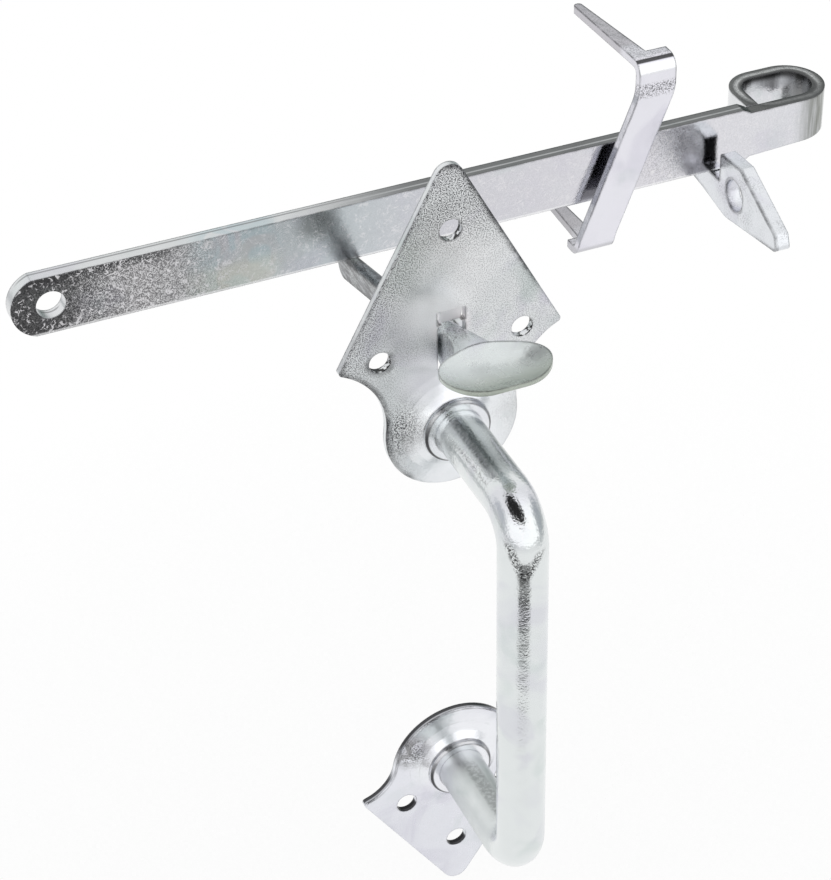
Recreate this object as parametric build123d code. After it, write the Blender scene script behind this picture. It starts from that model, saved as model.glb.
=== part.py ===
from build123d import *
import os
from math import asin, atan2, cos, degrees, hypot, pi, radians, sin, sqrt, tan

# Gate latch in millimetres: X along the gate, Y from the handle side into the gate, Z up.
# The origin lies on the back of the plates, in the middle of the upper plate's three screws.

# Stock
plate_thickness = 2.5
rod_diameter = 15.2
bar_height = 20.0
bar_thickness = 5.0
lever_thickness = 5.0
keeper_thickness = 2.8
catch_thickness = 5.0

# Plates
screw_circle_diameter = 52.6
top_screw_count = 3
screw_hole_diameter = 7.0
post_drop = 41.7
post_spacing = 136.0
lobe_radius = 21.5
top_half_width = 36.0
top_corner_rise = 27.3
top_point_rise = 94.4
top_point_radius = 4.6
top_waist_radius = 23.5
bottom_half_width = 33.1
bottom_corner_rise = 7.7
bottom_point_rise = 57.2
bottom_point_radius = 4.6
bottom_waist_radius = 14.0
bottom_screw_spacing = 35.2
bottom_side_screw_drop = 12.7
bottom_point_screw_drop = 35.0
corner_radius = 1.2
plate_edge_chamfer = 0.4
tongue_length = 4.5
tongue_relief = 1.1
tongue_push = 1.2

# Drawn neck round each handle end
neck_foot_radius = 19.5
neck_wall = 3.2
neck_height = 7.2
neck_shoulder_height = 5.4
neck_edge_chamfer = 0.8
funnel_steps = 3
funnel_middle_out = 0.4
funnel_middle_up = 0.36
flare_height = 4.4
flare_radius = 15.5
peened_end_depth = 1.2

# Bow handle
grip_standoff = 52.0
bend_radius = 12.0

# Thumb lever and its pin
slot_width = 9.0
slot_top_rise = 36.3
slot_bottom_rise = 19.0
slot_corner_radius = 1.5
pivot_back = 5.5
pivot_rise = 26.0
pin_diameter = 5.0
pin_overhang = 1.5
pin_chamfer = 0.6
pin_running_clearance = 0.05
lug_thickness = 2.5
lug_radius = 4.8
neck_side_clearance = 0.8
arm_slope = 12.5
arm_height = 7.5
arm_overlap = 4.0
arm_toe_radius = 4.5
arm_edge_radius = 1.4
lever_rest_gap = 0.8
hub_clearance = 0.5
lever_neck_top = 35.4
lever_neck_bottom = 22.4
lever_neck_straight = 7.0
lever_neck_root_half = 10.5
lever_neck_root_height = 3.6
lever_neck_root_inset = 4.5
lever_neck_root_lift = 0.2
lever_neck_hollow = 1.6
lever_neck_slot_round = 4.5
lever_neck_root_round = 12.0
spoon_half_width = 16.9
spoon_half_length = 12.5
spoon_depth = 3.2
spoon_middle_thickness = 3.0
spoon_rim_thickness = 1.4
spoon_reach = 33.0
spoon_rise = 40.8
spoon_tilt = 3.0

# Latch bar
bar_front = 72.2
bar_drop = 26.6
bar_pivot_x = -99.3
bar_pivot_to_end = 12.7
bar_end_radius = 10.5
bar_pivot_hole = 9.5
neck_step_x = 138.0
neck_step_length = 3.0
tail_top_step = 1.6
tail_bottom_step = 2.1
eye_right = 173.7
eye_depth = 25.0
eye_left = 141.5
eye_corner_radius = 11.0
eye_thickness = 4.3
eye_taper = 1.6
eye_seam = 0.3

# Keeper
keeper_gap = 3.0
keeper_width = 13.0
keeper_top_left = 96.0
keeper_bottom_left = 75.5
keeper_top_z = 22.8
keeper_bottom_z = -43.6
keeper_crank_high_z = 11.4
keeper_crank_low_z = -39.4
keeper_crank_radius = 16.0
keeper_bend_outer = 4.5
keeper_shoulder = 5.0
spike_length = 38.0
spike_root_width = 5.8
spike_tip_width = 2.7
spike_tip_radius = 1.2
spike_lean = 1.3
bottom_spike_inset = 4.0

# Catch
catch_left = 126.8
notch_front_gap = 5.6
notch_floor_gap = 0.3
hook_height = 10.1
hook_top_length = 13.4
hook_top_lift = 0.7
ramp_run = 23.6
ramp_fall = 11.6
tip_run = 2.0
tip_fall = 5.4
tip_radius = 1.6
catch_depth = 11.4
catch_heel_run = 34.0
catch_heel_radius = 12.0
padlock_hole = 10.8
padlock_hole_forward = 10.2
padlock_hole_drop = 0.5
catch_spike_length = 24.0
catch_spike_root = 8.4
catch_spike_tip = 2.4
hook_corner_radius = 1.2
post_face_gap = 0.2

# Places worked out from the sizes above
rod_radius = rod_diameter / 2
post_z = -post_drop
lower_post_z = post_z - post_spacing
pivot_z = post_z + pivot_rise
bar_back = bar_front + bar_thickness
bar_bottom = -bar_drop
bar_top = bar_bottom + bar_height
bar_middle = (bar_bottom + bar_top) / 2
slot_half = slot_width / 2


def polar(radius, angle):
    return (radius * cos(angle), radius * sin(angle))


def spade(half_width, corner_rise, point_rise, point_radius, waist_radius):
    """Spade outline, point up, with its round lobe centred on the handle post."""
    half_angle = atan2(half_width, point_rise - corner_rise)
    along_side = point_radius / tan(half_angle)
    point_right = (along_side * sin(half_angle), point_rise - along_side * cos(half_angle))
    point_top = (0, point_rise - point_radius / sin(half_angle) + point_radius)
    # The hollow waist touches the lobe and ends in the side corner.
    reach = lobe_radius + waist_radius
    corner_distance = hypot(half_width, corner_rise)
    cosine = (reach**2 + corner_distance**2 - waist_radius**2) / (2 * reach * corner_distance)
    waist_angle = atan2(corner_rise, half_width) - atan2(sqrt(1 - cosine**2), cosine)
    waist_x, waist_z = polar(reach, waist_angle)
    lobe_x, lobe_z = polar(lobe_radius, waist_angle)
    middle_x = half_width + lobe_x - 2 * waist_x
    middle_z = corner_rise + lobe_z - 2 * waist_z
    stretch = waist_radius / hypot(middle_x, middle_z)
    waist_middle = (waist_x + middle_x * stretch, waist_z + middle_z * stretch)

    def left(point):
        return (-point[0], point[1])

    corner = (half_width, corner_rise)
    lobe_side = (lobe_x, lobe_z)
    edges = [
        ThreePointArc(left(point_right), point_top, point_right),
        Line(point_right, corner),
        ThreePointArc(corner, waist_middle, lobe_side),
        ThreePointArc(lobe_side, (0, -lobe_radius), left(lobe_side)),
        ThreePointArc(left(lobe_side), left(waist_middle), left(corner)),
        Line(left(corner), left(point_right)),
    ]
    outline = make_face(edges)
    corners = outline.vertices().filter_by(lambda v: abs(abs(v.X) - half_width) < 0.01)
    return fillet(corners, corner_radius)


def drawn_neck():
    """Funnel drawn out of a plate round the handle post, turned about the post."""
    collar_radius = rod_radius + neck_wall
    shoulder_middle = (
        collar_radius + funnel_middle_out * (neck_foot_radius - collar_radius),
        plate_thickness + funnel_middle_up * (neck_shoulder_height - plate_thickness),
    )
    funnel = ThreePointArc(
        (neck_foot_radius, plate_thickness), shoulder_middle, (collar_radius, neck_shoulder_height)
    )
    funnel_points = [funnel @ (step / funnel_steps) for step in range(funnel_steps + 1)]
    profile = make_face(
        Polyline(
            *funnel_points,
            (collar_radius, neck_height),
            (rod_radius, neck_height),
            (rod_radius, flare_height),
            (flare_radius, 0),
            (neck_foot_radius, 0),
            close=True,
        )
    )
    rim = profile.vertices().filter_by(lambda v: abs(v.Y - neck_height) < 0.01 and v.X > rod_radius + 0.1)
    profile = chamfer(rim, neck_edge_chamfer)
    neck = revolve(profile, Axis.Y)
    # The revolve stands along +Y; the neck points out of the plate, along -Y.
    return Rot(0, 0, 180) * neck


def screw_hole(x, z):
    through = Cylinder(screw_hole_diameter / 2, 4 * plate_thickness, rotation=(90, 0, 0))
    return Pos(x, 0, z) * through


def pressed_plate(outline, centre_z, screws):
    """Sheet plate with its drawn neck and screw holes."""
    blank = Pos(0, 0, centre_z) * extrude(Plane.XZ * outline, plate_thickness)
    front_edges = blank.edges().filter_by(lambda e: abs(e.center().Y + plate_thickness) < 0.01)
    blank = chamfer(front_edges, plate_edge_chamfer)
    opening = Pos(0, 0, centre_z) * Cylinder(neck_foot_radius, 4 * plate_thickness, rotation=(90, 0, 0))
    plate = blank - opening + Pos(0, 0, centre_z) * drawn_neck()
    for x, z in screws:
        plate -= screw_hole(x, z)
    return plate


def lance_tongue(plate):
    """Tongue cut free over the slot and pushed in, so that its lower edge lies back."""
    lower_z = post_z + slot_top_rise
    bend_z = lower_z + tongue_length
    window = Box(
        slot_width, 4 * plate_thickness, tongue_length, align=(Align.CENTER, Align.CENTER, Align.MIN)
    )
    angle = degrees(asin(tongue_push / tongue_length))
    tongue = Box(
        slot_width - 2 * tongue_relief, plate_thickness, tongue_length + plate_thickness,
        align=(Align.CENTER, Align.MIN, Align.MAX),
    )
    hinge = Pos(0, -plate_thickness, bend_z) * Rot(angle, 0, 0)
    return plate - Pos(0, 0, lower_z) * window + hinge * tongue


def pivot_lug(side):
    """One of the two lugs bent back beside the slot; side is 1 or -1."""
    foot = Rectangle(pivot_back, 2 * lug_radius, align=(Align.MIN, Align.CENTER))
    eye = Pos(pivot_back, 0) * Circle(lug_radius)
    hole = Pos(pivot_back, 0) * Circle(pin_diameter / 2 + pin_running_clearance)
    lug = extrude(Plane.YZ * (foot + eye - hole), lug_thickness)
    start = slot_half if side > 0 else -slot_half - lug_thickness
    return Pos(start, 0, pivot_z) * lug


def top_plate():
    outline = spade(
        top_half_width, top_corner_rise, top_point_rise, top_point_radius, top_waist_radius
    )
    circle_radius = screw_circle_diameter / 2
    turn = 2 * pi / top_screw_count
    screws = [polar(circle_radius, pi / 2 + turn * number) for number in range(top_screw_count)]
    plate = lance_tongue(pressed_plate(outline, post_z, screws))
    slot_height = slot_top_rise - slot_bottom_rise
    slot_middle = post_z + (slot_top_rise + slot_bottom_rise) / 2
    slot = extrude(Plane.XZ * RectangleRounded(slot_width, slot_height, slot_corner_radius), neck_height)
    plate -= Pos(0, neck_height / 2, slot_middle) * slot
    return plate + pivot_lug(1) + pivot_lug(-1)


def bottom_plate():
    outline = spade(
        bottom_half_width, bottom_corner_rise, bottom_point_rise, bottom_point_radius, bottom_waist_radius
    )
    side_z = lower_post_z - bottom_side_screw_drop
    screws = [
        (-bottom_screw_spacing / 2, side_z),
        (bottom_screw_spacing / 2, side_z),
        (0, lower_post_z - bottom_point_screw_drop),
    ]
    return pressed_plate(Rot(0, 0, 180) * outline, lower_post_z, screws)


def peened_end(z):
    """End of the rod spread out into the back of a drawn neck."""
    spread = (flare_height - peened_end_depth) / flare_height
    end_radius = rod_radius + (flare_radius - rod_radius) * spread
    profile = make_face(
        Polyline(
            (0, -flare_height), (rod_radius, -flare_height), (end_radius, -peened_end_depth),
            (0, -peened_end_depth), close=True,
        )
    )
    return Pos(0, 0, z) * revolve(profile, Axis.Y)


def handle():
    """Round bar bent to a bow, from neck to neck."""
    start = -flare_height
    path = FilletPolyline(
        (0, start, post_z), (0, -grip_standoff, post_z),
        (0, -grip_standoff, lower_post_z), (0, start, lower_post_z), radius=bend_radius,
    )
    section = Plane(origin=(0, start, post_z), z_dir=(0, -1, 0)) * Circle(rod_radius)
    rod = sweep(section, path)
    return rod + peened_end(post_z) + peened_end(lower_post_z)


def arm_top_at(y):
    return bar_bottom - lever_rest_gap - tan(radians(arm_slope)) * (y - bar_front)


def dish_body(depth, rim_z):
    """Ball drawn out along X, on which the oval rim lies nearly flat at rim_z."""
    radius = (spoon_half_length**2 + depth**2) / (2 * depth)
    stretch = spoon_half_width - spoon_half_length
    corner = radius * sin(radians(45))
    profile = make_face(
        [
            ThreePointArc((-stretch - radius, 0), (-stretch - corner, corner), (-stretch, radius)),
            Line((-stretch, radius), (stretch, radius)),
            ThreePointArc((stretch, radius), (stretch + corner, corner), (stretch + radius, 0)),
            Line((stretch + radius, 0), (-stretch - radius, 0)),
        ]
    )
    return Pos(0, 0, rim_z - depth + radius) * revolve(Plane.XZ * profile, Axis.X)


def lever_neck():
    """Forged neck from the slot to the spoon: flaring sides under a rounded back."""
    half_neck = slot_half - neck_side_clearance
    back_y = pivot_back
    front_y = -plate_thickness
    root_y = -spoon_reach + spoon_half_length - lever_neck_root_inset
    front_top = post_z + lever_neck_top
    root_top = post_z + spoon_rise + lever_neck_root_lift
    run = front_y - root_y
    back_share = (back_y - front_y) / run
    back_top = front_top - (root_top - front_top) * back_share

    # Seen from the side.
    side_face = make_face(
        Polyline(
            (back_y, back_top), (root_y, root_top), (root_y, root_top - lever_neck_root_height),
            (front_y, post_z + lever_neck_bottom), (back_y, pivot_z), close=True,
        )
    )
    side = extrude(Plane.YZ * side_face, lever_neck_root_half, both=True)

    # Seen from above.
    flare_start = (half_neck, -lever_neck_straight)
    flare_end = (lever_neck_root_half, root_y)
    flare_middle = (
        (flare_start[0] + flare_end[0]) / 2 - lever_neck_hollow,
        (flare_start[1] + flare_end[1]) / 2,
    )

    def left(point):
        return (-point[0], point[1])

    plan_face = make_face(
        [
            Line((half_neck, back_y), flare_start),
            ThreePointArc(flare_start, flare_middle, flare_end),
            Line(flare_end, left(flare_end)),
            ThreePointArc(left(flare_end), left(flare_middle), left(flare_start)),
            Line(left(flare_start), (-half_neck, back_y)),
            Line((-half_neck, back_y), (half_neck, back_y)),
        ]
    )
    plan = Pos(0, 0, post_z) * extrude(plan_face, 2 * spoon_rise)

    # The rounded back is a cone that widens towards the spoon, over all that lies below its axis.
    back_round = lever_neck_slot_round - (lever_neck_root_round - lever_neck_slot_round) * back_share
    axis_start = Vector(0, back_y, back_top - back_round)
    axis_end = Vector(0, root_y, root_top - lever_neck_root_round)
    axis = axis_end - axis_start
    seat = Plane(origin=axis_start, x_dir=(1, 0, 0), z_dir=axis)
    back = seat * Cone(
        back_round, lever_neck_root_round, axis.length, align=(Align.CENTER, Align.CENTER, Align.MIN)
    )
    under_face = make_face(
        Polyline(
            (back_y, axis_start.Z), (root_y, axis_end.Z), (root_y, post_z), (back_y, post_z), close=True,
        )
    )
    under = extrude(Plane.YZ * under_face, lever_neck_root_half, both=True)
    return side & plan & (back + under)


def thumb_lever():
    """Lever with the thumb spoon in front of the plate and the lifting arm behind it."""
    half_neck = slot_half - neck_side_clearance
    drop = arm_height / cos(radians(arm_slope))
    arm_tip = bar_back + arm_overlap
    arm_face = make_face(
        Polyline(
            (pivot_back, arm_top_at(pivot_back)), (arm_tip, arm_top_at(arm_tip)),
            (arm_tip, arm_top_at(arm_tip) - drop), (pivot_back, arm_top_at(pivot_back) - drop), close=True,
        )
    )
    toe = arm_face.vertices().sort_by(Axis.X)[-2:].sort_by(Axis.Y)[0]
    arm_face = fillet([toe], arm_toe_radius)
    arm = extrude(Plane.YZ * arm_face, lever_thickness / 2, both=True)
    slope_direction = Vector(0, cos(radians(arm_slope)), -sin(radians(arm_slope)))
    long_edges = arm.edges().filter_by(Axis((0, 0, 0), slope_direction))
    arm = fillet(long_edges.group_by(Axis.Z)[-1], arm_edge_radius)

    hub = Cylinder(pivot_back - hub_clearance, 2 * half_neck, rotation=(0, 90, 0))
    hub = Pos(0, pivot_back, pivot_z) * hub

    spoon_z = post_z + spoon_rise
    seat = Pos(0, -spoon_reach, spoon_z) * Rot(-spoon_tilt, 0, 0)
    oval = extrude(Ellipse(spoon_half_width, spoon_half_length), 4 * spoon_depth, both=True)
    hollow = dish_body(spoon_depth, 0)
    below = dish_body(spoon_depth + spoon_middle_thickness - spoon_rim_thickness, -spoon_rim_thickness)
    bowl = (oval & below) - hollow

    lever = hub + arm + (lever_neck() - seat * hollow) + seat * bowl
    pin_bore = Pos(0, pivot_back, pivot_z) * Cylinder(pin_diameter / 2, slot_width, rotation=(0, 90, 0))
    return lever - pin_bore


def lever_pin():
    length = slot_width + 2 * (lug_thickness + pin_overhang)
    pin = Cylinder(pin_diameter / 2, length, rotation=(0, 90, 0))
    pin = chamfer(pin.edges().filter_by(GeomType.CIRCLE), pin_chamfer)
    return Pos(0, pivot_back, pivot_z) * pin


def eye_plan():
    """Rolled eye seen from above: the tail runs on, turns back and butts on its own back."""
    turn_outer = eye_depth / 2
    turn_inner = turn_outer - eye_thickness
    turn_x = eye_right - turn_outer
    turn_y = bar_front + turn_outer
    eye_back = bar_front + eye_depth
    corner_x = eye_left + eye_corner_radius
    corner_y = eye_back - eye_corner_radius
    tail_back = bar_front + eye_thickness

    def strip(low, high):
        box = Rectangle(high[0] - low[0], high[1] - low[1], align=(Align.MIN, Align.MIN))
        return Pos(low[0], low[1]) * box

    turn = Pos(turn_x, turn_y) * (Circle(turn_outer) - Circle(turn_inner))
    turn &= strip((turn_x, bar_front), (eye_right, eye_back))
    corner = Circle(eye_corner_radius) - Circle(eye_corner_radius - eye_thickness)
    corner = Pos(corner_x, corner_y) * corner
    corner &= strip((eye_left, corner_y), (corner_x, eye_back))
    front = strip((neck_step_x + neck_step_length, bar_front), (turn_x, tail_back))
    back = strip((corner_x, eye_back - eye_thickness), (turn_x, eye_back))
    side = strip((eye_left, tail_back + eye_seam), (eye_left + eye_thickness, corner_y))
    return front + turn + back + corner + side


def latch_bar():
    """Flat bar: round pivot end, necked tail, rolled eye."""
    end_x = bar_pivot_x - bar_pivot_to_end
    sagitta = bar_end_radius - sqrt(bar_end_radius**2 - (bar_height / 2) ** 2)
    shoulder_x = neck_step_x + neck_step_length
    tail_top = bar_top - tail_top_step
    tail_bottom = bar_bottom + tail_bottom_step
    edges = [
        ThreePointArc((end_x + sagitta, bar_bottom), (end_x, bar_middle), (end_x + sagitta, bar_top)),
        Polyline(
            (end_x + sagitta, bar_top), (neck_step_x, bar_top), (shoulder_x, tail_top),
            (shoulder_x, tail_bottom), (neck_step_x, bar_bottom), (end_x + sagitta, bar_bottom),
        ),
    ]
    face = make_face(edges) - Pos(bar_pivot_x, bar_middle) * Circle(bar_pivot_hole / 2)
    bar = Pos(0, bar_back, 0) * extrude(Plane.XZ * face, bar_thickness)
    eye = Pos(0, 0, tail_bottom) * extrude(eye_plan(), tail_top - tail_bottom)
    # The tail narrows from below towards the far end of the eye.
    taper = make_face(
        Polyline(
            (shoulder_x, tail_bottom), (eye_right, tail_bottom), (eye_right, tail_bottom + eye_taper),
            close=True,
        )
    )
    eye -= Pos(0, bar_front + eye_depth, 0) * extrude(Plane.XZ * taper, eye_depth)
    return bar + eye


def keeper():
    """Bent strap round the bar, cranked sideways so that its two spikes stand apart."""
    inner = bar_front - keeper_gap
    front = inner - keeper_thickness
    shoulder = inner + keeper_shoulder
    tip_y = shoulder + spike_length
    middle_z = (keeper_top_z + keeper_bottom_z) / 2

    # Strip bent to a channel, seen from the side.
    strip = make_face(
        Polyline(
            (tip_y, keeper_bottom_z), (front, keeper_bottom_z), (front, keeper_top_z), (tip_y, keeper_top_z),
            (tip_y, keeper_top_z - keeper_thickness), (inner, keeper_top_z - keeper_thickness),
            (inner, keeper_bottom_z + keeper_thickness), (tip_y, keeper_bottom_z + keeper_thickness),
            close=True,
        )
    )
    outer_bends = strip.vertices().filter_by(lambda v: abs(v.X - front) < 0.01)
    strip = fillet(outer_bends, keeper_bend_outer)
    inner_bends = strip.vertices().filter_by(
        lambda v: abs(v.X - inner) < 0.01 and v.Y < keeper_top_z and v.Y > keeper_bottom_z
    )
    strip = fillet(inner_bends, keeper_bend_outer - keeper_thickness)
    reach = keeper_top_left + keeper_width - keeper_bottom_left
    margin = 2 * spike_lean
    channel = Pos(keeper_bottom_left - margin, 0, 0) * extrude(Plane.YZ * strip, reach + 2 * margin)

    # Crank of the strip, seen from the front.
    def side(offset):
        return FilletPolyline(
            (keeper_bottom_left + offset, keeper_bottom_z - 1),
            (keeper_bottom_left + offset, keeper_crank_low_z),
            (keeper_top_left + offset, keeper_crank_high_z),
            (keeper_top_left + offset, keeper_top_z + 1),
            radius=keeper_crank_radius,
        )

    left_side = side(0)
    right_side = side(keeper_width)
    crank = make_face(
        [left_side, Line(left_side @ 1, right_side @ 1), right_side, Line(right_side @ 0, left_side @ 0)]
    )
    crank = Pos(0, shoulder, 0) * extrude(Plane.XZ * crank, shoulder - front + 1)
    spikes_room = Pos(keeper_bottom_left, shoulder, middle_z) * Box(
        4 * reach, spike_length, 2 * (keeper_top_z - keeper_bottom_z),
        align=(Align.CENTER, Align.MIN, Align.CENTER),
    )
    crank += spikes_room

    # Shoulder and spike of each leg, seen from above.
    def leg(spike_left, left_lean, right_lean):
        spike_right = spike_left + spike_root_width
        spike = make_face(
            Polyline(
                (spike_left, front), (spike_left, shoulder), (spike_left + left_lean, tip_y),
                (spike_right + right_lean, tip_y), (spike_right, shoulder), (spike_right, front), close=True,
            )
        )
        tips = spike.vertices().filter_by(lambda v: abs(v.Y - tip_y) < 0.01)
        spike = fillet(tips, spike_tip_radius)
        sheet = Rectangle(6 * reach, shoulder - front + 1, align=(Align.CENTER, Align.MAX))
        return spike + Pos(spike_left, shoulder) * sheet

    narrowing = spike_root_width - spike_tip_width
    top_leg = leg(keeper_top_left, -spike_lean, -spike_lean - narrowing)
    bottom_leg = leg(keeper_bottom_left + bottom_spike_inset, spike_lean, spike_lean - narrowing)
    top_leg = Pos(0, 0, middle_z) * extrude(top_leg, keeper_top_z - middle_z + 1)
    bottom_leg = Pos(0, 0, middle_z) * extrude(bottom_leg, keeper_bottom_z - middle_z - 1)
    return channel & crank & (top_leg + bottom_leg)


def catch():
    """Plate that stands out from the post: ramp, hook and notch for the bar, spike behind."""
    floor = bar_bottom - notch_floor_gap
    hook_back = bar_front - notch_front_gap
    hook_front = hook_back - hook_top_length
    hook_top = floor + hook_height
    ramp_top = hook_top + hook_top_lift
    ramp_end = hook_front - ramp_run
    ramp_end_z = ramp_top - ramp_fall
    tip_y = ramp_end - tip_run
    tip_z = ramp_end_z - tip_fall
    heel_y = tip_y + catch_heel_run
    heel_z = floor - catch_depth
    post_face = bar_back + post_face_gap
    spike_y = post_face + catch_spike_length
    spike_z = floor - catch_spike_root / 2
    face = make_face(
        Polyline(
            (hook_back, floor), (hook_back, hook_top), (hook_front, ramp_top), (ramp_end, ramp_end_z),
            (tip_y, tip_z), (heel_y, heel_z), (post_face, floor - catch_spike_root),
            (spike_y, spike_z - catch_spike_tip / 2), (spike_y, spike_z + catch_spike_tip / 2),
            (post_face, floor), close=True,
        )
    )
    tips = face.vertices().sort_by(Axis.X)[:2]
    face = fillet(tips, tip_radius)
    hook = face.vertices().filter_by(lambda v: v.Y > floor + 1)
    face = fillet(hook, hook_corner_radius)
    heel = face.vertices().sort_by(Axis.Y)[0]
    face = fillet([heel], catch_heel_radius)
    hole = Pos(hook_back - padlock_hole_forward, floor - padlock_hole_drop) * Circle(padlock_hole / 2)
    return Pos(catch_left, 0, 0) * extrude(Plane.YZ * (face - hole), catch_thickness)


parts = {
    "handle": handle(),
    "top_plate": top_plate(),
    "bottom_plate": bottom_plate(),
    "thumb_lever": thumb_lever(),
    "lever_pin": lever_pin(),
    "latch_bar": latch_bar(),
    "keeper": keeper(),
    "catch": catch(),
}
os.makedirs("parts", exist_ok=True)
for name, part in parts.items():
    export_step(part, f"parts/{name}.step")
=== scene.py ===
import math

import bpy
from mathutils import Matrix, Vector


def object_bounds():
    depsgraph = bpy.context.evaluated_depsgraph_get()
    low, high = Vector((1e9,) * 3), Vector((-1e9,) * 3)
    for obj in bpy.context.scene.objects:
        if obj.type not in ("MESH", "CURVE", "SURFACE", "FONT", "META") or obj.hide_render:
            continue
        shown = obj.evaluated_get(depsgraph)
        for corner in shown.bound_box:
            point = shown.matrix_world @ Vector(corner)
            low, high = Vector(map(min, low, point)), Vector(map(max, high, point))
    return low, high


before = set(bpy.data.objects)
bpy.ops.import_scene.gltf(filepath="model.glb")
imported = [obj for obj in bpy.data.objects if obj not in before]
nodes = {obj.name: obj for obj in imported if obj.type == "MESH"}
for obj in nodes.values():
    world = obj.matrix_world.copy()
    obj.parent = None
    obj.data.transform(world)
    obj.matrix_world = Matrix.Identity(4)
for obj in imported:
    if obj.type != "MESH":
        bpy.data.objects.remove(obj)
cad_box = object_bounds()
scene = bpy.context.scene

# Camera of the photo: place and near limit in metres, lens and sensor in millimetres
camera_place = Vector((-0.2728, -0.6220, 0.4495))
camera_azimuth = math.radians(-22.822)
camera_elevation = math.radians(36.295)
camera_roll = math.radians(-1.097)
camera_lens = 114.5
camera_sensor = 36
camera_near = 0.01

# Edge rounding left by punching and tumbling, in metres
edge_radius = 0.0009
bevel_samples = 4

# Coarseness of the scratches, in waves per millimetre
scratch_scale = 0.22

# Places on the part, in millimetres of its own frame
plate_front = -2.5
plate_middle = -1.25
upper_post_z = -41.7
lower_post_z = -177.7
top_holes = ((0.0, 26.3), (-22.8, -13.15), (22.8, -13.15))
bottom_holes = ((-17.6, -190.4), (17.6, -190.4), (0.0, -212.7))
hole_reach = (4.0, 5.0)
collar_radius = 10.8
collar_front = -7.2
grip_y = -52.0
bar_front = 72.2
bar_shade_start = -114.0
bar_shade_length = 290.0

# Rolled eye of the bar, in millimetres: middle, half of its straight stretches, outer radius, wall.
# The last of the straights takes the height out of the distance.
eye_middle = (157.6, 84.7, 0.0)
eye_straights = (5.1, 1.5, 1000.0)
eye_radius = 11.0
eye_wall = 4.3

# Dark tones: painted shade in pits and creases, crystal grains, and painted dark reflections along edges
shade_and_reflection_black = (0.02, 0.02, 0.022)
crease_shade_black = (0.03, 0.03, 0.032)
grain_and_edge_reflection_black = (0.05, 0.05, 0.055)
edge_reflection_black = (0.06, 0.06, 0.065)

# Floor of the studio, in metres
floor_drop = 0.12
floor_half = 3.0
floor_colour = (0.9, 0.9, 0.9, 1)
shadow_reach = 0.5
shadow_samples = 16

# Dark arc on the floor: middle in metres, slant, and bow for each metre
arc_middle = 0.02
arc_slant = 0.33
arc_bow = 0.8

# Light of the tent in front of the latch and behind it
tent_front = (1.3, 1.3, 1.3)
tent_back = (1.0, 1.0, 1.0)

# Sockets of the Mix node that hold the factor, both colours and the result
mix_inputs = (0, 6, 7)
mix_output = 2


def add_camera():
    back = Vector((
        math.sin(camera_azimuth) * math.cos(camera_elevation),
        -math.cos(camera_azimuth) * math.cos(camera_elevation),
        math.sin(camera_elevation),
    ))
    right = Vector((math.cos(camera_azimuth), math.sin(camera_azimuth), 0))
    up = back.cross(right)
    across = right * math.cos(camera_roll) + up * math.sin(camera_roll)
    upright = up * math.cos(camera_roll) - right * math.sin(camera_roll)
    data = bpy.data.cameras.new("camera")
    data.lens = camera_lens
    data.sensor_width = camera_sensor
    data.clip_start = camera_near
    camera = bpy.data.objects.new("camera", data)
    turn = Matrix((across, upright, back)).transposed().to_4x4()
    camera.matrix_world = Matrix.Translation(camera_place) @ turn
    scene.collection.objects.link(camera)
    scene.camera = camera


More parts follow.
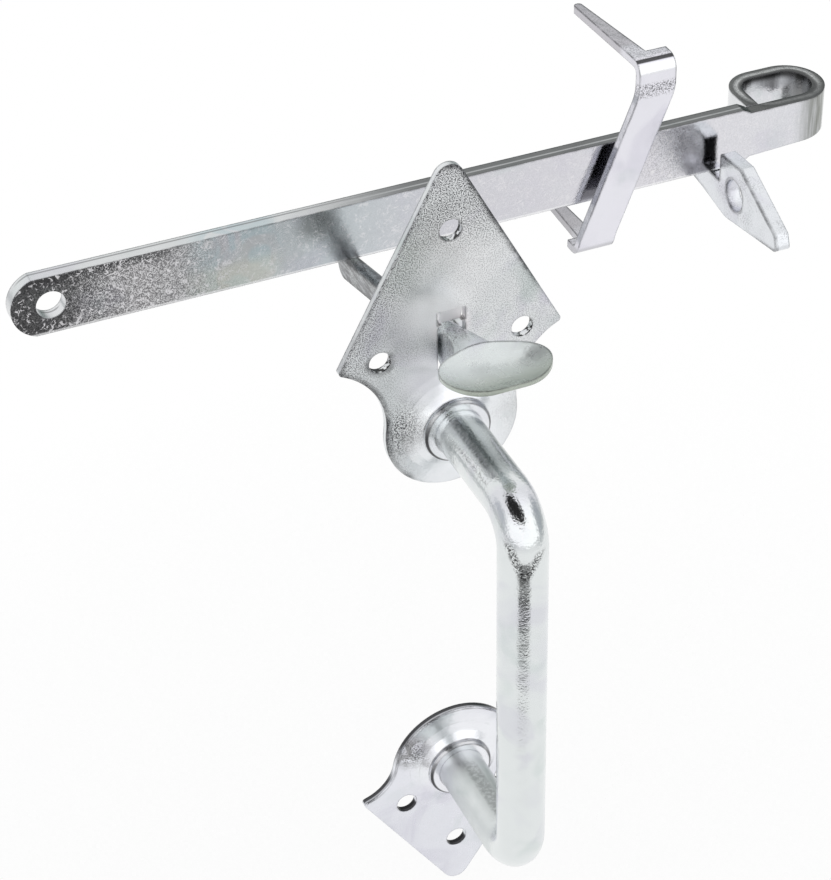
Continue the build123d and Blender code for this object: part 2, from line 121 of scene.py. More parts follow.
class Nodes:
    """Short way to add and join shader nodes."""

    def __init__(self, tree):
        self.tree = tree
        tree.nodes.clear()

    def add(self, kind, **settings):
        node = self.tree.nodes.new(kind)
        for name, value in settings.items():
            setattr(node, name, value)
        return node

    def feed(self, socket, value):
        if isinstance(value, (int, float)):
            socket.default_value = value
        elif isinstance(value, (tuple, Vector)):
            size = len(socket.default_value)
            socket.default_value = (*value, 1)[:size]
        else:
            self.tree.links.new(value, socket)

    def math(self, operation, *values):
        node = self.add("ShaderNodeMath", operation=operation)
        for socket, value in zip(node.inputs, values):
            self.feed(socket, value)
        return node.outputs[0]

    def times(self, *values):
        total = values[0]
        for value in values[1:]:
            total = self.math("MULTIPLY", total, value)
        return total

    def most(self, *values):
        total = values[0]
        for value in values[1:]:
            total = self.math("MAXIMUM", total, value)
        return total

    def inverse(self, value):
        return self.math("SUBTRACT", 1.0, value)

    def vector(self, operation, first, second=None, output="Vector"):
        node = self.add("ShaderNodeVectorMath", operation=operation)
        self.feed(node.inputs[0], first)
        if second is not None:
            self.feed(node.inputs["Scale" if operation == "SCALE" else 1], second)
        return node.outputs[output]

    def along(self, vector, direction):
        return self.vector("DOT_PRODUCT", vector, direction, "Value")

    def split(self, vector):
        node = self.add("ShaderNodeSeparateXYZ")
        self.feed(node.inputs[0], vector)
        return node.outputs

    def noise(self, vector, scale, detail=3.0, rough=0.6, distortion=0.0):
        node = self.add("ShaderNodeTexNoise")
        node.inputs["Scale"].default_value = scale
        node.inputs["Detail"].default_value = detail
        node.inputs["Roughness"].default_value = rough
        node.inputs["Distortion"].default_value = distortion
        self.feed(node.inputs["Vector"], vector)
        return node.outputs["Fac"]

    def ramp(self, value, low, high, to_low=0.0, to_high=1.0):
        node = self.add("ShaderNodeMapRange", interpolation_type="SMOOTHSTEP")
        for name, number in zip(("From Min", "From Max", "To Min", "To Max"), (low, high, to_low, to_high)):
            self.feed(node.inputs[name], number)
        self.feed(node.inputs["Value"], value)
        return node.outputs["Result"]

    def fade(self, value, low, high):
        return self.ramp(value, low, high, 1.0, 0.0)

    def band(self, value, start, full, fade, end):
        return self.times(self.ramp(value, start, full), self.fade(value, fade, end))

    def mix(self, factor, first, second):
        node = self.add("ShaderNodeMix", data_type="RGBA")
        for number, value in zip(mix_inputs, (factor, first, second)):
            self.feed(node.inputs[number], value)
        return node.outputs[mix_output]

    def mix_shaders(self, factor, first, second):
        node = self.add("ShaderNodeMixShader")
        for socket, value in zip(node.inputs, (factor, first, second)):
            self.feed(socket, value)
        return node.outputs[0]

    def shades(self, value, stops):
        node = self.add("ShaderNodeValToRGB")
        ramp = node.color_ramp
        while len(ramp.elements) < len(stops):
            ramp.elements.new(0.5)
        for element, (place, colour) in zip(ramp.elements, stops):
            element.position = place
            element.color = (*colour, 1)
        self.feed(node.inputs[0], value)
        return node.outputs["Color"]


class Zinc(Nodes):
    """Zinc-plated steel, laid on coat by coat. Places are in millimetres of the part's own frame."""

    def __init__(self, name, base, grain_scale=1.9):
        self.material = bpy.data.materials.new(name)
        self.material.use_nodes = True
        super().__init__(self.material.node_tree)
        metres = self.add("ShaderNodeTexCoord").outputs["Object"]
        self.place = self.vector("SCALE", metres, 1000.0)
        self.x, self.y, self.z = self.split(self.place)
        geometry = self.add("ShaderNodeNewGeometry")
        self.normal = geometry.outputs["Normal"]
        self.across, self.facing, self.upward = self.split(self.normal)
        self.colour = base
        self.gloss = 0.25
        self.grain = self.noise(self.place, grain_scale, 1, 0.6)
        self.rounded = self.bevel(edge_radius)

    def bevel(self, radius):
        node = self.add("ShaderNodeBevel", samples=bevel_samples)
        node.inputs["Radius"].default_value = radius
        return node.outputs["Normal"]

    def spot(self, centre, inner, outer):
        """Round mask, full within the inner radius and gone at the outer one."""
        far = self.vector("DISTANCE", self.place, centre, "Value")
        return self.fade(far, inner, outer)

    def near_holes(self, holes):
        """Mask of the walls of a plate's screw holes."""
        return self.most(*[self.spot((x, plate_middle, z), *hole_reach) for x, z in holes])

    def tint(self, factor, colour):
        self.colour = self.mix(factor, self.colour, colour)

    def patch(self, centre, inner, outer, strength, colour):
        """Soft round patch of another tone."""
        self.tint(self.times(self.spot(centre, inner, outer), strength), colour)

    def clouds(self, strength):
        """Faint lilac and blue-green bloom of the passivated plating."""
        lilac = self.ramp(self.noise(self.place, 0.045, 3, 0.55, 0.8), 0.48, 0.70, 0.0, strength)
        green = self.ramp(self.noise(self.place, 0.060, 3, 0.55, 0.5), 0.52, 0.74, 0.0, strength)
        self.tint(lilac, (0.58, 0.56, 0.66))
        self.tint(green, (0.54, 0.62, 0.60))

    def speckle(self, mask, depth, low=0.48, high=0.62):
        """Black grains of the rough crystal, about half a millimetre across."""
        grains = self.ramp(self.grain, low, high)
        self.tint(self.times(grains, mask, depth), grain_and_edge_reflection_black)

    def glint(self, mask, depth):
        """Bright crystal faces between the grains."""
        faces = self.fade(self.grain, 0.34, 0.46)
        self.tint(self.times(faces, mask, depth), (0.86, 0.87, 0.88))

    def scratches(self, mask, depth):
        """Short curled scratches: thin contour lines of a slow noise, broken up by another."""
        total = 0.0
        for turn, finer in enumerate((1.0, 1.7)):
            scale = scratch_scale * finer
            shifted = self.vector("ADD", self.place, (31.0 * turn + 7.0, 5.0, 17.0 * turn))
            slope = self.noise(shifted, scale, 2, 0.5, 1.2)
            off_line = self.math("ABSOLUTE", self.math("SUBTRACT", slope, 0.5))
            line = self.fade(off_line, 0.010, 0.035)
            gaps = self.ramp(self.noise(shifted, scale * 1.4, 2, 0.5), 0.50, 0.60)
            total = self.math("ADD", total, self.times(line, gaps))
        self.tint(self.times(self.math("MINIMUM", total, 1.0), mask, depth), (0.80, 0.79, 0.81))

    def edges(self, depth, colour, reach=None):
        """Painted dark reflection as a line, broken here and there, on the upper sharp edges.

        With a reach, in metres, the line is about that wide and follows every edge.
        """
        if reach:
            turned = self.bevel(reach)
            upper = 1.0
        else:
            turned = self.rounded
            upper = self.ramp(self.split(self.rounded)[2], -0.15, 0.15)
        same = self.along(turned, self.normal)
        broken = self.ramp(self.noise(self.place, 0.25, 3, 0.6), 0.35, 0.6, 0.5, 1.0)
        line = self.fade(self.math("MULTIPLY_ADD", broken, -0.03, same), 0.945, 0.97)
        self.tint(self.times(line, broken, upper, depth), colour)

    def collar_shade_line(self, post_z):
        """Painted shade as a dark line on the collar's chamfer round the handle post, strong below and
        faint above.
        """
        flat = self.vector("MULTIPLY", self.place, (1.0, 0.0, 1.0))
        far = self.vector("DISTANCE", flat, (0.0, 0.0, post_z), "Value")
        inward = self.math("SUBTRACT", collar_radius, far)
        behind = self.math("SUBTRACT", self.y, collar_front)
        chamfer = self.times(self.band(inward, 0.0, 0.2, 0.8, 1.0), self.band(behind, -0.1, 0.1, 0.7, 0.9))
        strength = self.ramp(self.z, post_z, post_z + 9.0, 0.95, 0.3)
        self.tint(self.times(chamfer, strength), crease_shade_black)

    def close(self, ripple, pits):
        """Adds the gloss and relief and gives the finished material."""
        shader = self.add("ShaderNodeBsdfPrincipled")
        shader.inputs["Metallic"].default_value = 1.0
        self.feed(shader.inputs["Base Color"], self.colour)
        smear = self.ramp(self.noise(self.place, 0.11, 5, 0.65, 0.6), 0.3, 0.7, 0.8, 1.2)
        self.feed(shader.inputs["Roughness"], self.times(smear, self.gloss))
        waves = self.noise(self.place, 0.16, 3, 0.5)
        height = self.math("ADD", self.times(waves, ripple), self.times(self.grain, pits))
        bump = self.add("ShaderNodeBump")
        bump.inputs["Strength"].default_value = 1.0
        bump.inputs["Distance"].default_value = 0.001
        self.feed(bump.inputs["Height"], height)
        self.feed(bump.inputs["Normal"], self.rounded)
        self.feed(shader.inputs["Normal"], bump.outputs["Normal"])
        out = self.add("ShaderNodeOutputMaterial")
        self.feed(out.inputs["Surface"], shader.outputs["BSDF"])
        return self.material


def top_plate_zinc():
    """Rough crystal at the point and the left side, smooth below the slot and round the neck."""
    m = Zinc("zinc_top_plate", (0.81, 0.83, 0.84), 2.8)
    m.clouds(0.6)
    front = m.fade(m.facing, -0.7, -0.4)
    smooth = m.most(
        m.spot((4.0, plate_front, -30.0), 8.0, 22.0),
        m.spot((2.0, -5.0, -52.0), 10.0, 24.0),
    )

    # Crystal: dark grains and bright faces on a shaded ground
    from_left_edge = m.math("ADD", m.times(m.x, 0.86), m.times(m.z, -0.51))
    tip = m.ramp(m.z, 4.0, 34.0)
    left_side = m.ramp(from_left_edge, -24.0, -4.0, 0.9, 0.0)
    lower_left = m.spot((-18.0, plate_front, -40.0), 3.0, 16.0)
    crystal = m.times(m.most(tip, left_side, lower_left, 0.38), m.inverse(m.times(smooth, 0.9)), front)
    shade = m.ramp(m.noise(m.place, 0.07, 3, 0.6), 0.35, 0.65, 0.05, 0.35)
    m.patch((-4.0, plate_front, 14.0), 6.0, 24.0, m.times(front, 0.9), (0.97, 0.97, 0.98))
    m.tint(m.times(shade, crystal), (0.40, 0.41, 0.42))
    m.speckle(crystal, 1.0, low=0.50, high=0.58)
    m.glint(crystal, 0.9)

    # Smooth ground, a painted highlight on the pressed tongue over the slot, two painted highlights beside
    # the slot and a bluish painted shade further left
    m.tint(m.times(smooth, 0.5), (0.86, 0.88, 0.92))
    m.patch((-0.5, -2.0, -6.0), 4.0, 8.0, 1.0, (0.93, 0.90, 0.91))
    m.patch((-6.0, plate_front, 0.0), 3.0, 14.0, 0.85, (0.98, 0.99, 1.0))
    m.patch((-9.0, plate_front, -22.0), 3.0, 12.0, 0.7, (0.96, 0.96, 1.0))
    m.patch((-22.0, plate_front, -2.0), 3.0, 15.0, m.times(front, 0.25), (0.36, 0.36, 0.40))

    # Painted dark reflection as a wide line on the right edge and the left waist, and painted shade in the
    # screw holes
    to_right_edge = m.math("ADD", m.times(m.x, 0.882), m.times(m.z, 0.472))
    right_edge = m.times(m.ramp(to_right_edge, 20.0, 22.0), m.ramp(m.z, -6.0, 10.0))
    left_waist = m.times(m.fade(m.x, -15.0, -11.0), m.fade(m.z, -12.0, -9.0))
    m.edges(m.times(m.most(left_waist, right_edge), front), shade_and_reflection_black, 0.003)
    # Painted shade on the walls of the screw holes, broken into dashes
    hole_shade_dashes = m.ramp(m.noise(m.place, 0.5, 2, 0.6), 0.45, 0.53)
    hole_wall = m.times(m.near_holes(top_holes), m.band(m.facing, -0.4, -0.2, 0.2, 0.4))
    m.tint(m.times(hole_wall, hole_shade_dashes, 0.95), (0.02, 0.02, 0.02))

    # Thin lines of painted shade on the collar and of painted dark reflection on the edges, faint at the
    # neck's foot and the right corner
    m.collar_shade_line(upper_post_z)
    foot = m.times(smooth, m.ramp(m.y, -4.8, -3.8))
    right_corner = m.ramp(m.math("ADD", m.x, m.times(m.z, -0.5)), 18.0, 30.0, 0.0, 0.9)
    m.edges(m.math("SUBTRACT", 0.95, m.times(m.most(foot, right_corner), 0.95)), grain_and_edge_reflection_black)

    matt = m.most(
        m.times(m.spot((-8.0, plate_front, -6.0), 8.0, 20.0), 0.7),
        m.times(m.spot((-11.0, -3.0, -26.0), 4.0, 12.0), 0.6),
    )
    m.gloss = m.most(m.ramp(smooth, 0.0, 1.0, 0.36, 0.20), matt)
    return m.close(0.15, 0.03)


def bottom_plate_zinc():
    """Smooth lilac plate with a painted dark reflection, speckled with grains, on the upper left of its
    neck.
    """
    m = Zinc("zinc_bottom_plate", (0.80, 0.81, 0.86), 2.8)
    m.clouds(0.4)
    front = m.fade(m.facing, -0.9, -0.5)
    # Painted dark reflection on the upper left of the neck, with grains on it
    smear = m.ramp(m.noise(m.place, 0.2, 3, 0.6, 0.8), 0.36, 0.56)
    neck_left = m.spot((-16.0, -3.0, -168.0), 2.0, 9.0)
    m.tint(m.times(smear, neck_left, 0.7), (0.20, 0.20, 0.19))
    m.speckle(neck_left, 0.9)
    m.speckle(m.times(front, 0.05), 1.0)
    # Painted light over the funnel round the post, kept off the dark reflection
    m.patch((0.0, -6.0, -172.0), 13.0, 20.0, m.times(m.inverse(neck_left), 0.6), (0.93, 0.94, 0.96))

    # Painted shade on the walls of the lobe's upper rim and of the holes
    wall = m.ramp(m.facing, -0.3, -0.1)
    rim = m.times(m.ramp(m.upward, 0.2, 0.6), wall, m.ramp(m.y, -1.7, -1.2, 0.35, 0.95))
    m.tint(rim, crease_shade_black)
    hole_wall = m.times(m.near_holes(bottom_holes), wall, m.ramp(m.upward, 0.1, 0.4))
    m.tint(m.times(hole_wall, 0.92), shade_and_reflection_black)

    m.collar_shade_line(lower_post_z)
    # Painted dark reflections on the edges, stronger higher up
    m.edges(m.ramp(m.z, -196.0, -180.0, 0.15, 0.85), edge_reflection_black)
    m.gloss = m.ramp(m.z, -200.0, -180.0, 0.30, 0.20)
    return m.close(0.2, 0.02)


def speck_fork(m):
    """Mask of a painted dark reflection: two slanting arms of specks that meet on the grip under its upper
    bend.
    """
    from_axis = m.math("ADD", m.y, -grip_y)
    sideways = m.math("ADD", m.times(m.x, 0.922), m.times(from_axis, -0.388))
    arms = []
    # Each arm: sideways place and height of its foot, slope, height of its top
    for side, foot, slope, top in ((-0.5, -58.0, -0.39, -49.0), (1.5, -57.5, 0.47, -52.0)):
        line = m.math("MULTIPLY_ADD", m.math("SUBTRACT", m.z, foot), slope, side)
        off_line = m.math("ABSOLUTE", m.math("SUBTRACT", sideways, line))
        arms.append(m.times(m.fade(off_line, 0.5, 2.0), m.band(m.z, foot - 3.0, foot, top, top + 2.5)))
    specks = m.ramp(m.noise(m.place, 1.9, 2, 0.6), 0.44, 0.54)
    grip_front = m.fade(m.y, -50.0, -46.0)
    return m.times(m.most(*arms), specks, grip_front)


def handle_zinc():
    """Smooth bright bar with painted dark reflections as mottled streaks along both posts and a fork of
    specks on the grip.
    """
    m = Zinc("zinc_handle", (0.76, 0.79, 0.79), 1.3)
    m.clouds(0.35)
    m.scratches(m.ramp(m.z, -60.0, -44.0), 0.35)
    low = m.fade(m.z, -160.0, -150.0)
    mottle = m.ramp(m.noise(m.place, 0.8, 3, 0.7), 0.35, 0.6, 0.3, 0.8)

    # Upper post: painted dark reflection as a streak on its upper left side, then painted shade on the
    # upper right side of both posts
    upper_left = m.along(m.normal, (-0.30, 0.0, 0.954))
    on_upper_post = m.times(m.band(m.y, -38.0, -32.0, -14.0, -9.0), m.ramp(m.z, -60.0, -50.0))
    m.tint(m.times(m.ramp(upper_left, 0.93, 0.985), on_upper_post, mottle), (0.10, 0.11, 0.11))
    # Painted shade on the upper right side of both posts
    upper_right = m.along(m.normal, (0.25, 0.0, 0.968))
    right_side_shade = m.times(m.ramp(upper_right, 0.55, 0.95), m.band(m.y, -44.0, -34.0, -14.0, -9.0))
    m.tint(m.times(right_side_shade, m.ramp(low, 0.0, 1.0, 0.75, 0.3)), (0.34, 0.37, 0.36))

    # Lower post: painted dark reflection as a streak on its top
    low_streak = m.times(m.ramp(m.upward, 0.93, 0.985), m.band(m.y, -50.0, -44.0, -16.0, -10.0), low)
    m.tint(m.times(low_streak, mottle, 0.65), (0.14, 0.15, 0.15))

    # Painted dark reflection as a fork of specks on the grip
    m.tint(m.times(speck_fork(m), 0.92), (0.03, 0.03, 0.03))
    m.gloss = m.ramp(m.times(low, m.ramp(m.y, -50.0, -42.0)), 0.0, 1.0, 0.15, 0.42)
    return m.close(0.15, m.ramp(m.z, -50.0, -45.0, 0.048, 0.085))


def lever_zinc():
    """Greenish spoon, grainy neck and a dark streaked arm."""
    m = Zinc("zinc_lever", (0.74, 0.78, 0.78))
    m.clouds(0.5)
    neck = m.ramp(m.y, -16.0, -11.0)
    m.speckle(m.most(neck, 0.06), 0.6)
    spoon = m.ramp(m.y, -42.0, -26.0, 0.9, 0.0)
    m.tint(spoon, (0.42, 0.46, 0.40))
    arm = m.ramp(m.y, 8.0, 14.0)
    streaks = m.noise(m.vector("MULTIPLY", m.place, (1.0, 0.15, 1.0)), 0.8, 2, 0.6)
    m.tint(m.times(arm, m.ramp(streaks, 0.4, 0.6, 0.5, 0.95)), (0.16, 0.16, 0.165))
    # Painted shade as a black line along the arm's edges
    m.edges(m.times(arm, 0.9), shade_and_reflection_black, 0.002)
    # Painted dark reflections on the upper edges
    m.edges(0.6, (0.10, 0.10, 0.10))
    m.gloss = 0.28
    return m.close(0.25, 0.02)


def pin_zinc():
    m = Zinc("zinc_pin", (0.60, 0.61, 0.63))
    m.clouds(0.4)
    m.speckle(0.3, 0.6)
    return m.close(0.2, 0.03)


def tint_bar_face(m, front, by_catch):
    """Front of the bar: heat tint, painted shadow and reflection of the lever's arm, a dark pivot end with
    grains, scratches, and a painted highlight along the bottom edge.
    """
    tempered = m.band(m.x, -60.0, -46.0, -30.0, -22.0)
    bloom = m.ramp(m.noise(m.place, 0.09, 2, 0.5, 1.0), 0.40, 0.55, 0.0, 0.45)
    m.tint(m.times(tempered, bloom), (0.44, 0.58, 0.62))
    lower_half = m.fade(m.z, -20.0, -15.0)
    m.tint(m.times(tempered, lower_half, 0.35), (0.70, 0.68, 0.56))
    # Painted shadow and reflection of the lever's arm on the face
    m.patch((-13.0, bar_front, -10.0), 2.0, 10.0, m.times(front, 0.6), (0.17, 0.18, 0.175))

    # Pivot end: dark upper half, black grains with bright faces between them, darkest at the tip
    upper_half = m.times(m.ramp(m.z, -12.0, -7.5), m.fade(m.x, -70.0, -50.0), front)
    m.tint(m.times(upper_half, 0.85), (0.06, 0.06, 0.062))
    worn = m.times(m.ramp(m.x, -100.0, -78.0, 1.0, 0.7), m.ramp(m.x, -62.0, -36.0, 1.0, 0.12))
    m.speckle(m.times(worn, front), 0.95, low=0.44, high=0.58)
    m.glint(m.times(m.band(m.x, -100.0, -84.0, -70.0, -44.0), front), 0.75)
    m.tint(m.times(m.ramp(m.x, -100.0, -80.0, 0.5, 0.0), front), (0.05, 0.05, 0.05))

    m.speckle(m.times(by_catch, front), 0.25)
    scratched = m.most(m.ramp(m.x, -70.0, -30.0, 1.0, 0.45), by_catch)
    m.scratches(m.times(scratched, front), 1.0)
    # Painted highlight along the bottom edge of the face
    bottom_highlight = m.fade(m.z, -26.1, -25.6)
    m.tint(m.times(bottom_highlight, front, 0.7), (0.92, 0.92, 0.93))


def tint_bar_edge(m, edge):
    """Upper narrow side of the bar: painted shade, dark to the right, with a painted highlight line to the
    right and a painted shade line to the left.
    """
    to_right = m.ramp(m.x, -30.0, 30.0)
    to_left = m.ramp(m.x, -30.0, 30.0, 0.6, 0.0)
    behind_front = m.math("SUBTRACT", m.y, bar_front)
    top_highlight_line = m.band(behind_front, 1.7, 2.0, 2.4, 2.7)
    top_shade_line = m.band(behind_front, 3.0, 3.3, 3.7, 4.0)
    m.tint(m.times(edge, to_right, 0.85), (0.08, 0.085, 0.085))
    m.tint(m.times(edge, top_highlight_line, to_right, 0.6), (0.60, 0.61, 0.62))
    m.tint(m.times(edge, top_shade_line, to_left), (0.12, 0.12, 0.125))


def tint_bar_eye(m, eye, top):
    """Rolled eye: rings of painted highlight and shade on its rim, painted shade inside and a streaked
    outer wall in painted shade.
    """
    from_middle = m.vector("ABSOLUTE", m.vector("SUBTRACT", m.place, eye_middle))
    past_straights = m.vector("MAXIMUM", m.vector("SUBTRACT", from_middle, eye_straights), (0.0, 0.0, 0.0))
    inset = m.math("SUBTRACT", eye_radius, m.vector("LENGTH", past_straights, output="Value"))
    rings = m.shades(m.times(inset, 1.0 / eye_wall), (
        (0.00, (0.30, 0.30, 0.29)),
        (0.12, (0.14, 0.15, 0.14)),
        (0.28, (0.12, 0.12, 0.12)),
        (0.42, (0.50, 0.51, 0.51)),
        (0.62, (0.84, 0.85, 0.85)),
        (0.76, (0.20, 0.20, 0.20)),
        (0.90, (0.03, 0.03, 0.03)),
    ))
    # Painted highlight and shade in rings across the rim, darker towards the front, with grains
    rim = m.times(eye, top)
    m.tint(m.times(rim, 0.9), rings)
    m.tint(m.times(rim, m.ramp(m.y, 77.0, 86.0, 0.8, 0.3)), (0.08, 0.085, 0.085))
    m.speckle(rim, 0.5)

    # Painted shade inside the eye, black near its top
    inside = m.times(m.ramp(inset, eye_wall - 0.6, eye_wall - 0.2), m.inverse(top), eye)
    off_middle = m.math("ABSOLUTE", m.math("SUBTRACT", m.x, eye_middle[0]))
    m.tint(m.times(inside, m.ramp(m.z, -11.5, -9.0), 0.95), (0.03, 0.03, 0.03))
    m.tint(m.times(inside, m.ramp(off_middle, 4.0, 11.0), 0.8), (0.09, 0.09, 0.09))

    # Painted shade on the outer wall, streaked, darkest at its far right
    outside = m.times(m.ramp(m.x, 156.0, 167.0), m.inverse(m.most(inside, top)))
    upright = m.noise(m.vector("MULTIPLY", m.place, (1.0, 1.0, 0.1)), 0.5, 2, 0.6)
    streaks = m.ramp(upright, 0.35, 0.65, 0.5, 1.0)
    m.tint(m.times(outside, streaks, 0.95), (0.18, 0.19, 0.165))
    m.tint(m.times(outside, m.ramp(m.x, 170.0, 173.0), 0.7), (0.08, 0.08, 0.08))


def bar_zinc():
    """Flat bar, nearly black at the pivot end and bright at the eye."""
    m = Zinc("zinc_bar", (0.74, 0.75, 0.76), 3.0)
    front = m.fade(m.facing, -0.9, -0.5)
    top = m.ramp(m.upward, 0.6, 0.9)
    eye = m.ramp(m.x, 139.0, 141.0)
    by_catch = m.spot((112.0, bar_front, -16.0), 6.0, 18.0)
    lengthwise = m.math("MULTIPLY_ADD", m.x, 1.0 / bar_shade_length, -bar_shade_start / bar_shade_length)
    m.tint(front, m.shades(lengthwise, (
        (0.00, (0.18, 0.18, 0.185)),
        (0.07, (0.28, 0.28, 0.285)),
        (0.15, (0.53, 0.52, 0.53)),
        (0.27, (0.52, 0.53, 0.54)),
        (0.36, (0.54, 0.59, 0.61)),
        (0.50, (0.63, 0.63, 0.67)),
        (0.75, (0.73, 0.72, 0.76)),
        (1.00, (0.72, 0.73, 0.76)),
    )))
    m.clouds(0.3)
    tint_bar_face(m, front, by_catch)
    tint_bar_edge(m, m.times(top, m.inverse(eye)))
    tint_bar_eye(m, eye, top)
    # Painted dark reflections on the upper edges
    m.edges(0.75, (0.08, 0.08, 0.085))
    m.gloss = m.most(m.ramp(m.x, -30.0, 60.0, 0.27, 0.10), m.times(by_catch, 0.22))
    return m.close(0.12, 0.02)


def keeper_zinc():
    """Lilac strap with a painted highlight and a painted black reflection line over its upper bend, and
    grains below it.
    """
    m = Zinc("zinc_keeper", (0.80, 0.795, 0.85), 2.4)
    m.clouds(0.35)
    m.speckle(m.band(m.z, 9.5, 12.0, 14.5, 16.0), 0.8)
    m.speckle(m.ramp(m.upward, 0.8, 0.95), 0.5)
    # Painted highlight and a painted black reflection line across the upper bend
    bend = m.ramp(m.z, 15.0, 18.0)
    m.tint(m.times(bend, m.band(m.upward, 0.05, 0.2, 0.65, 0.78), 0.8), (0.93, 0.94, 0.95))
    m.tint(m.times(bend, m.band(m.upward, 0.80, 0.86, 0.96, 0.98), 0.9), (0.02, 0.02, 0.02))
    spikes = m.times(m.ramp(m.y, 78.0, 81.0), m.fade(m.facing, 0.3, 0.6))
    m.tint(m.times(spikes, 0.55), (0.42, 0.40, 0.42))
    foot = m.fade(m.z, -41.5, -39.5)
    m.tint(m.times(foot, 0.5), (0.30, 0.30, 0.31))
    # Painted shade on the left-facing side
    left_side = m.fade(m.across, -0.5, -0.2)
    m.tint(m.times(left_side, 0.12), (0.20, 0.20, 0.21))
    # Painted shade on the inner face toward the bar, which the bar mirrors as a dark band
    toward_bar = m.times(m.ramp(m.facing, 0.5, 0.9), m.band(m.z, -31.0, -26.0, -7.0, -2.0))
    m.tint(m.times(toward_bar, 0.8), (0.10, 0.10, 0.105))
    # Painted dark reflections on the upper edges
    m.edges(0.95, edge_reflection_black)
    m.gloss = 0.18
    return m.close(0.15, 0.015)


def catch_zinc():
    """Pale plate with its notch wall painted black as shade and painted dark reflection lines along the
    upper edges of its left side.
    """
    m = Zinc("zinc_catch", (0.76, 0.78, 0.81))
    m.clouds(0.4)
    m.speckle(m.ramp(m.noise(m.place, 0.10, 3, 0.6), 0.42, 0.68), 0.35)
    # Painted shade: the notch wall facing the bar is black
    notch = m.times(m.ramp(m.facing, 0.7, 0.9), m.fade(m.y, 72.0, 74.0))
    m.tint(notch, (0.01, 0.01, 0.01))
    # Painted dark reflections along the upper edges of the left side
    ridge = m.times(m.fade(m.x, 127.6, 128.2), m.ramp(m.z, -36.0, -34.0))
    m.edges(ridge, (0.03, 0.03, 0.033), 0.002)
    return m.close(0.2, 0.02)


def dress_nodes():
    finishes = {
        "handle": handle_zinc(),
        "top_plate": top_plate_zinc(),
        "bottom_plate": bottom_plate_zinc(),
        "thumb_lever": lever_zinc(),
        "lever_pin": pin_zinc(),
        "latch_bar": bar_zinc(),
        "keeper": keeper_zinc(),
        "catch": catch_zinc(),
    }
    for name, material in finishes.items():
        for slot in nodes[name].material_slots:
            slot.material = material


def dark_arc(n, x, y, far):
    """Mask of the dark arc and its thin longer rim on the floor in front of the handle."""
    aside = n.math("SUBTRACT", x, n.times(y, arc_slant))
    bowed = n.math("SUBTRACT", far, n.times(aside, aside, arc_bow))
    beside = n.math("ABSOLUTE", n.math("SUBTRACT", aside, arc_middle))
    arc = n.times(n.fade(beside, 0.14, 0.19), n.band(bowed, 0.29, 0.36, 0.41, 0.44))
    rim = n.times(n.band(bowed, 0.40, 0.41, 0.43, 0.445), n.band(aside, -0.36, -0.30, 0.20, 0.26))
    return n.times(n.most(arc, rim), n.fade(y, -0.05, 0.05))


def floor_material():
    """White with a soft shadow to the camera, white with a dark arc in the metal, pale for the light."""
    material = bpy.data.materials.new("floor")
    material.use_nodes = True
    n = Nodes(material.node_tree)
    x, y, _ = n.split(n.add("ShaderNodeTexCoord").outputs["Object"])
    from_grip = n.math("SUBTRACT", y, grip_y / 1000.0)
    far = n.math("SQRT", n.math("ADD", n.times(x, x), n.times(from_grip, from_grip)))

    pale = n.add("ShaderNodeBsdfDiffuse")
    pale.inputs["Color"].default_value = floor_colour
    shadow = n.add("ShaderNodeAmbientOcclusion", samples=shadow_samples)
    shadow.inputs["Distance"].default_value = shadow_reach
    seen = n.add("ShaderNodeEmission")
    n.feed(seen.inputs["Color"], shadow.outputs["Color"])
    # The mirrored floor dims with distance, and less so straight ahead of the handle.
    ahead = n.ramp(n.math("DIVIDE", y, far), -0.95, -0.5, 0.3, 1.0)
    distant = n.mix(n.times(n.ramp(far, 0.9, 1.7), ahead), (1.0, 1.0, 1.0), (0.50, 0.52, 0.53))
    mirrored = n.add("ShaderNodeEmission")
    n.feed(mirrored.inputs["Color"], n.mix(dark_arc(n, x, y, far), distant, (0.02, 0.02, 0.02)))

    path = n.add("ShaderNodeLightPath")
    in_metal = n.most(path.outputs["Is Glossy Ray"], path.outputs["Is Transmission Ray"])
    unseen = n.mix_shaders(in_metal, pale.outputs[0], mirrored.outputs[0])
    out = n.add("ShaderNodeOutputMaterial")
    n.feed(out.inputs["Surface"], n.mix_shaders(path.outputs["Is Camera Ray"], unseen, seen.outputs[0]))
    return material


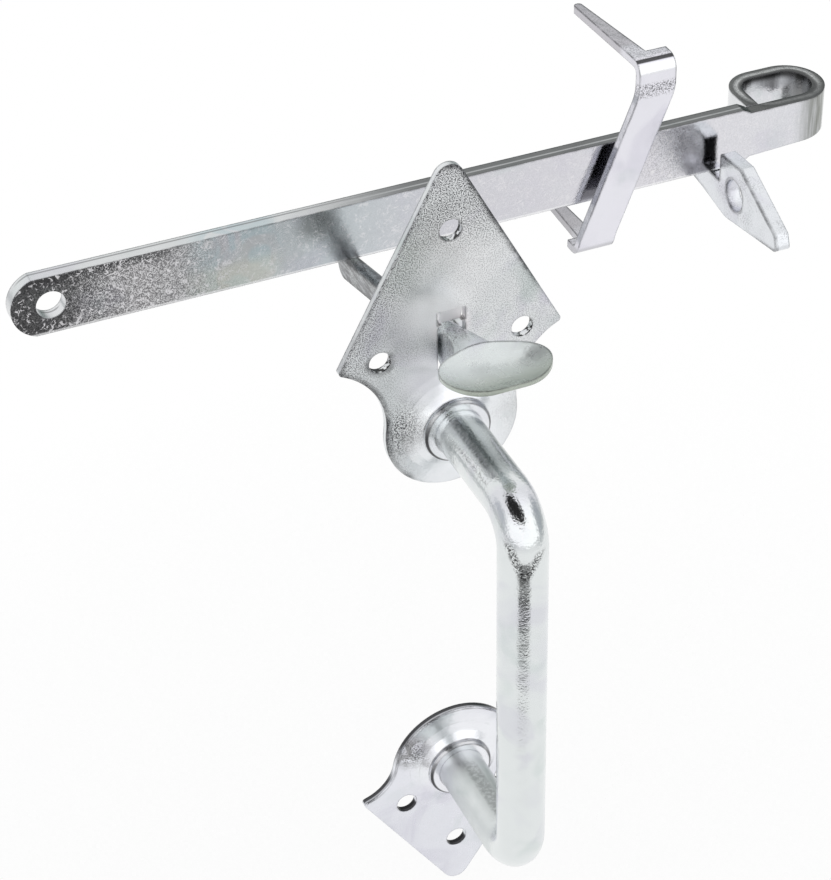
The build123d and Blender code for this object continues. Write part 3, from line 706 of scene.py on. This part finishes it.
def add_floor():
    """Pale floor far enough below that the latch hangs free over it."""
    mesh = bpy.data.meshes.new("floor")
    low = cad_box[0]
    z = low[2] - floor_drop
    corners = [(-1, -1), (1, -1), (1, 1), (-1, 1)]
    mesh.from_pydata([(x * floor_half, y * floor_half, z) for x, y in corners], [], [(0, 1, 2, 3)])
    floor = bpy.data.objects.new("floor", mesh)
    scene.collection.objects.link(floor)
    mesh.materials.append(floor_material())


def add_world():
    """White tent, brighter in front: four dim openings at the back and sides, two black ones overhead."""
    world = bpy.data.worlds.new("studio")
    scene.world = world
    world.use_nodes = True
    n = Nodes(world.node_tree)
    direction = n.add("ShaderNodeTexCoord").outputs["Generated"]
    _, to_back, _ = n.split(direction)
    shade = n.mix(n.ramp(to_back, -0.6, 0.2), tent_front, tent_back)
    # Each opening: direction of its middle, inner and outer limit of its soft edge in degrees, colour
    openings = (
        (Vector((0.31, 0.95, 0.05)), 5, 34, (0.60, 0.64, 0.62)),
        (Vector((0.62, 0.78, 0.05)), 10, 30, (0.25, 0.29, 0.28)),
        (Vector((0.97, -0.15, 0.10)), 10, 32, (0.45, 0.47, 0.50)),
        (Vector((-0.90, 0.10, 0.15)), 8, 24, (0.60, 0.62, 0.65)),
        (Vector((-0.36, -0.34, 0.87)), 22, 27, (0.02, 0.02, 0.02)),
        (Vector((-0.14, -0.60, 0.79)), 17, 22, (0.02, 0.02, 0.02)),
    )
    for middle, inner, outer, colour in openings:
        nearness = n.along(direction, middle.normalized())
        opening = n.ramp(nearness, math.cos(math.radians(outer)), math.cos(math.radians(inner)))
        shade = n.mix(opening, shade, colour)
    tent = n.add("ShaderNodeBackground")
    n.feed(tent.inputs["Color"], shade)
    white = n.add("ShaderNodeBackground")
    white.inputs["Color"].default_value = (1, 1, 1, 1)
    path = n.add("ShaderNodeLightPath")
    out = n.add("ShaderNodeOutputWorld")
    seen = n.mix_shaders(path.outputs["Is Camera Ray"], tent.outputs[0], white.outputs[0])
    n.feed(out.inputs["Surface"], seen)


add_camera()
dress_nodes()
add_floor()
add_world()
scene.view_settings.view_transform = "Standard"
